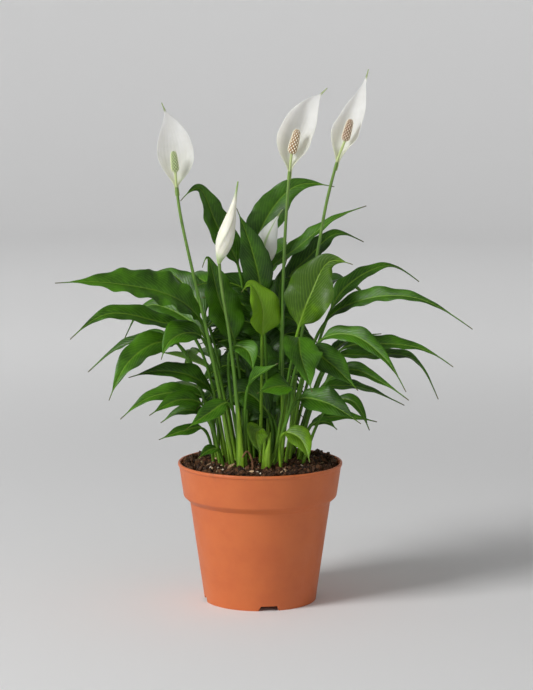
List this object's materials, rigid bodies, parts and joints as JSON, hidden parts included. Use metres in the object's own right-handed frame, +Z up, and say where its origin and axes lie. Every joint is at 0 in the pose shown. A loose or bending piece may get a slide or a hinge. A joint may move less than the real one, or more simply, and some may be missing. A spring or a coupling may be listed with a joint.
{
  "type": "potted peace lily",
  "caption": "Peace lily in a round terracotta-coloured plastic nursery pot: arching lance-shaped leaves and tall stems with white spathes around knobbly spadices.",
  "frame": {"origin": "middle of the underside of the pot's foot, on the surface it stands on", "axes": "+Z up along the pot's axis towards the flowers, -Y towards the front of the plant, +X to the right seen from the front"},
  "size_m": [0.4182, 0.2565, 0.5481],
  "materials": {
    "pot_plastic": "matt terracotta-coloured injection-moulded plastic",
    "potting_soil": "dark moist peat and bark with pale perlite flecks",
    "leaf": "glossy deep green leaf with sunken veins",
    "young_leaf": "bright yellow-green young leaf, semi-gloss",
    "flower_stem": "smooth pale green stem",
    "spathe": "soft matt ivory-white spathe with a green tip",
    "spadix_green": "knobbly yellow-green spadix",
    "spadix_cream": "knobbly cream spadix",
    "spadix_tan": "knobbly tan spadix",
    "dry_stalk": "dry brown withered stalk"
  },
  "bodies": {
    "root": {"flower_back_spadix": "spadix_green", "flower_back_spathe": "spathe", "flower_back_stem": "flower_stem", "flower_bud_spathe": "spathe", "flower_bud_stem": "flower_stem", "flower_left_spadix": "spadix_green", "flower_left_spathe": "spathe", "flower_left_stem": "flower_stem", "flower_right_spadix": "spadix_tan", "flower_right_spathe": "spathe", "flower_right_stem": "flower_stem", "flower_tall_spadix": "spadix_cream", "flower_tall_spathe": "spathe", "flower_tall_stem": "flower_stem", "leaf_back_centre": "leaf", "leaf_back_left": "leaf", "leaf_back_low": "leaf", "leaf_back_low_left": "leaf", "leaf_back_low_right": "leaf", "leaf_back_right": "leaf", "leaf_centre_behind": "leaf", "leaf_centre_bright": "young_leaf", "leaf_centre_dark": "leaf", "leaf_centre_droop": "leaf", "leaf_front_centre": "leaf", "leaf_front_right": "leaf", "leaf_front_right_low": "leaf", "leaf_front_small": "leaf", "leaf_left_arched": "leaf", "leaf_left_crossing": "leaf", "leaf_left_drooping": "leaf", "leaf_left_far": "leaf", "leaf_left_folded": "leaf", "leaf_left_long": "leaf", "leaf_left_low": "leaf", "leaf_left_low_front": "leaf", "leaf_left_lowest": "leaf", "leaf_left_middle": "leaf", "leaf_left_twisted": "leaf", "leaf_left_upright": "leaf", "leaf_left_whip": "leaf", "leaf_right_back_dark": "leaf", "leaf_right_bright": "young_leaf", "leaf_right_drooping": "leaf", "leaf_right_folded": "leaf", "leaf_right_hook": "leaf", "leaf_right_long": "leaf", "leaf_right_low": "leaf", "leaf_right_low_dark": "leaf", "leaf_right_middle": "leaf", "leaf_right_narrow": "leaf", "leaf_right_shaded": "leaf", "leaf_right_upper": "leaf", "leaf_shoot_left": "young_leaf", "leaf_shoot_right": "young_leaf", "leaf_top_left": "leaf", "leaf_top_right": "leaf", "pot": "pot_plastic", "soil": "potting_soil", "withered_stalk": "dry_stalk"}
  },
  "joints": []
}
